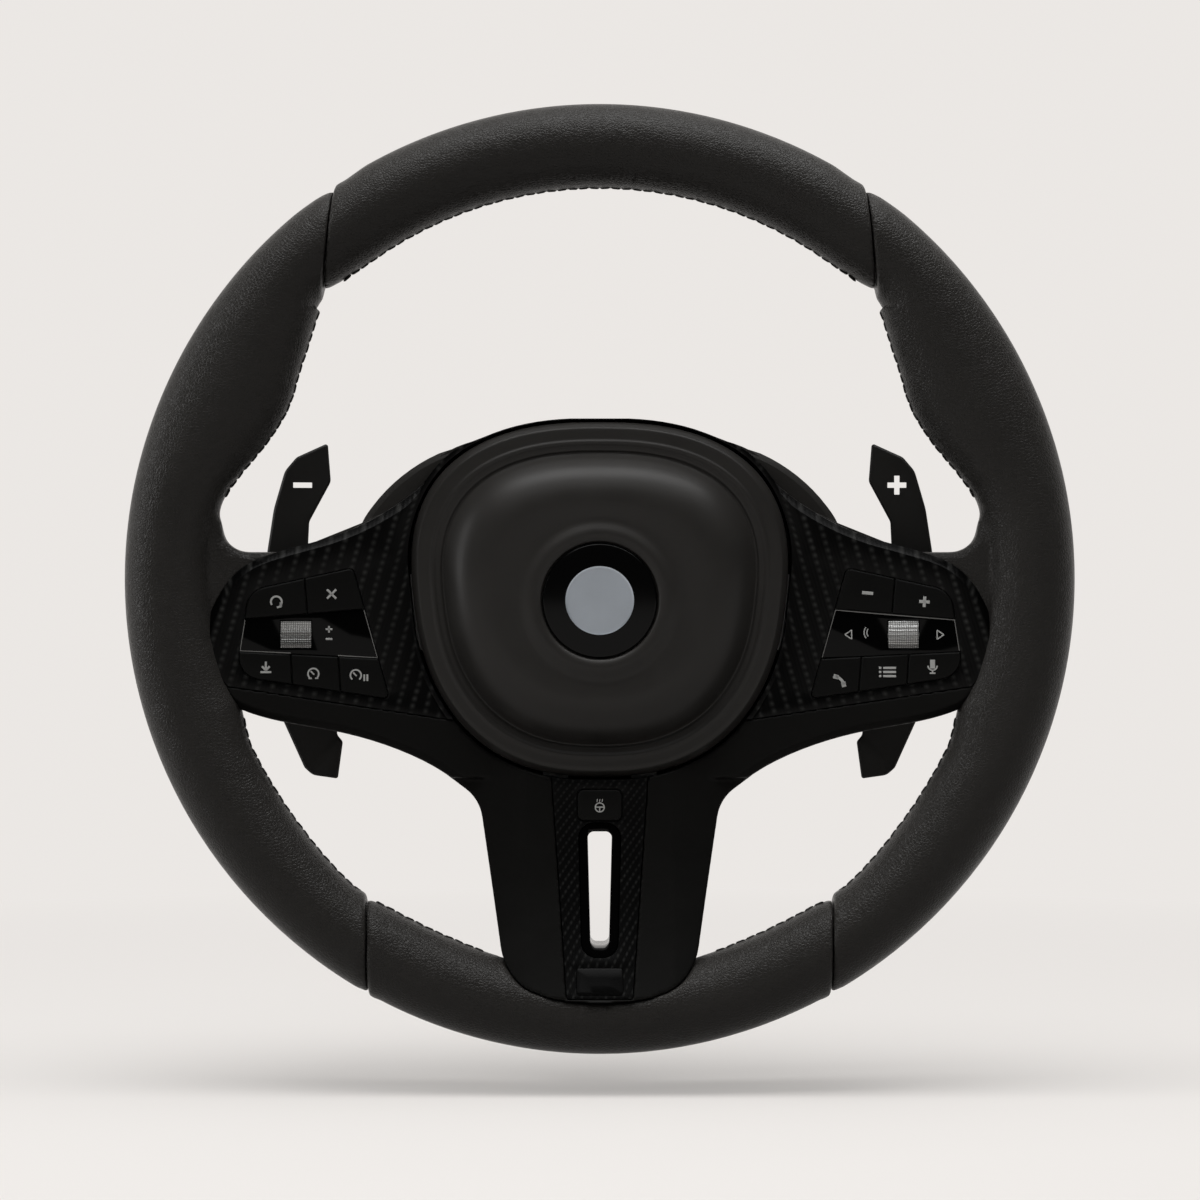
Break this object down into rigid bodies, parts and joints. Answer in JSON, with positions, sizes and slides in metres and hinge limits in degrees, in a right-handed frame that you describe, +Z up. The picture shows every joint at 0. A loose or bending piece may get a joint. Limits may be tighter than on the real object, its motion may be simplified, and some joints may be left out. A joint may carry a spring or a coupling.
{
  "type": "car steering wheel",
  "caption": "Car steering wheel with a leather rim and thumb rests, an airbag cover that presses for the horn, spoke switches, shift paddles and a slotted lower spoke.",
  "frame": {"origin": "on the steering axis, at the rear mouth of the hub bore", "axes": "+X to the driver's right, +Y from the driver towards the steering column, +Z up"},
  "size_m": [0.37, 0.0792, 0.37],
  "materials": {
    "leather": "smooth black leather over foam, stitched seams",
    "soft_cover": "soft-touch black",
    "carbon": "lacquered black twill weave",
    "matte_black": "fine-grained matte black",
    "key_black": "matte black with light symbols",
    "gloss_black": "polished black",
    "knurl_silver": "satin knurl",
    "paddle_paint": "matte dark grey paint",
    "cover_black": "coarse-grained matte black",
    "cast_alloy": "as cast",
    "steel": "zinc plated",
    "cushion_cloth": "woven nylon",
    "rubber": "plain",
    "board": "solder mask",
    "housing_grey": "moulded",
    "emblem": "plain disc with a satin ring",
    "plaque": "satin"
  },
  "bodies": {
    "base": {"hub_boss": "steel", "armature": "cast_alloy", "rim_top": "leather", "rim_bottom": "leather", "rim_right_grip": "leather", "rim_left_grip": "leather", "upper_trim": "carbon", "lower_trim": "matte_black", "lower_insert": "carbon", "slot_bezel": "gloss_black", "badge_plate": "plaque", "heater_switch": "housing_grey", "rear_cover": "cover_black", "cover_screws": "steel", "paddle_screws": "steel", "horn_buffers": "rubber", "right_housing": "housing_grey", "right_board": "board", "right_paddle_bracket": "housing_grey", "right_paddle_pin": "steel", "left_panel": "gloss_black", "left_housing": "housing_grey", "left_board": "board", "left_paddle_bracket": "housing_grey", "left_paddle_pin": "steel", "right_roller_pin": "steel", "left_rocker_pin": "steel"},
    "airbag_module": {"airbag_cover": "soft_cover", "emblem_cap": "emblem", "airbag_can": "steel", "airbag_cushion": "cushion_cloth", "inflator": "steel", "guide_pins": "steel"},
    "right_key_plus": {"right_key_plus": "key_black"},
    "right_key_minus": {"right_key_minus": "key_black"},
    "right_key_voice": {"right_key_voice": "key_black"},
    "right_key_list": {"right_key_list": "key_black"},
    "right_key_phone": {"right_key_phone": "key_black"},
    "left_key_resume": {"left_key_resume": "key_black"},
    "left_key_cancel": {"left_key_cancel": "key_black"},
    "left_key_set": {"left_key_set": "key_black"},
    "left_key_cruise": {"left_key_cruise": "key_black"},
    "left_key_limit": {"left_key_limit": "key_black"},
    "heater_key": {"heater_key": "key_black"},
    "right_roller": {"right_roller": "knurl_silver"},
    "left_rocker": {"left_rocker": "knurl_silver"},
    "right_panel": {"right_panel": "gloss_black"},
    "right_paddle": {"right_paddle": "paddle_paint"},
    "left_paddle": {"left_paddle": "paddle_paint"}
  },
  "joints": [
    {"name": "horn_press", "type": "slide", "parent": "base", "child": "airbag_module", "axis": [0, 1, 0], "range_m": [0, 0.002], "stiffness_N_per_m": 12000, "deforming": ["horn_buffers"]},
    {"name": "right_key_plus_press", "type": "slide", "parent": "base", "child": "right_key_plus", "axis": [0.1392, 0.9903, 0], "range_m": [0, 0.001], "stiffness_N_per_m": 3000},
    {"name": "right_key_minus_press", "type": "slide", "parent": "base", "child": "right_key_minus", "axis": [0.1392, 0.9903, 0], "range_m": [0, 0.001], "stiffness_N_per_m": 3000},
    {"name": "right_key_voice_press", "type": "slide", "parent": "base", "child": "right_key_voice", "axis": [0.1392, 0.9903, 0], "range_m": [0, 0.001], "stiffness_N_per_m": 3000},
    {"name": "right_key_list_press", "type": "slide", "parent": "base", "child": "right_key_list", "axis": [0.1392, 0.9903, 0], "range_m": [0, 0.001], "stiffness_N_per_m": 3000},
    {"name": "right_key_phone_press", "type": "slide", "parent": "base", "child": "right_key_phone", "axis": [0.1392, 0.9903, 0], "range_m": [0, 0.001], "stiffness_N_per_m": 3000},
    {"name": "left_key_resume_press", "type": "slide", "parent": "base", "child": "left_key_resume", "axis": [-0.1392, 0.9903, 0], "range_m": [0, 0.001], "stiffness_N_per_m": 3000},
    {"name": "left_key_cancel_press", "type": "slide", "parent": "base", "child": "left_key_cancel", "axis": [-0.1392, 0.9903, 0], "range_m": [0, 0.001], "stiffness_N_per_m": 3000},
    {"name": "left_key_set_press", "type": "slide", "parent": "base", "child": "left_key_set", "axis": [-0.1392, 0.9903, 0], "range_m": [0, 0.001], "stiffness_N_per_m": 3000},
    {"name": "left_key_cruise_press", "type": "slide", "parent": "base", "child": "left_key_cruise", "axis": [-0.1392, 0.9903, 0], "range_m": [0, 0.001], "stiffness_N_per_m": 3000},
    {"name": "left_key_limit_press", "type": "slide", "parent": "base", "child": "left_key_limit", "axis": [-0.1392, 0.9903, 0], "range_m": [0, 0.001], "stiffness_N_per_m": 3000},
    {"name": "heater_key_press", "type": "slide", "parent": "base", "child": "heater_key", "axis": [0, 1, 0], "range_m": [0, 0.001], "stiffness_N_per_m": 3000},
    {"name": "right_roller_turn", "type": "hinge", "parent": "base", "child": "right_roller", "pos_m": [0.11868, -0.06103, -0.0216], "axis": [0.9903, -0.1392, 0], "continuous": true},
    {"name": "left_rocker_tip", "type": "hinge", "parent": "base", "child": "left_rocker", "pos_m": [-0.11868, -0.06103, -0.0216], "axis": [0.9903, 0.1392, 0], "range_deg": [-8, 8], "stiffness_Nm_per_rad": 0.05},
    {"name": "right_panel_tip", "type": "hinge", "parent": "base", "child": "right_panel", "pos_m": [0.1184, -0.06301, -0.0216], "axis": [0, 0, 1], "range_deg": [-1.5, 1.5], "stiffness_Nm_per_rad": 2},
    {"name": "right_paddle_pull", "type": "hinge", "parent": "base", "child": "right_paddle", "pos_m": [0.09058, -0.02962, -0.018], "axis": [0, 0, -1], "range_deg": [0, 4.5], "stiffness_Nm_per_rad": 6},
    {"name": "left_paddle_pull", "type": "hinge", "parent": "base", "child": "left_paddle", "pos_m": [-0.09058, -0.02962, -0.018], "axis": [0, 0, 1], "range_deg": [0, 4.5], "stiffness_Nm_per_rad": 6}
  ]
}
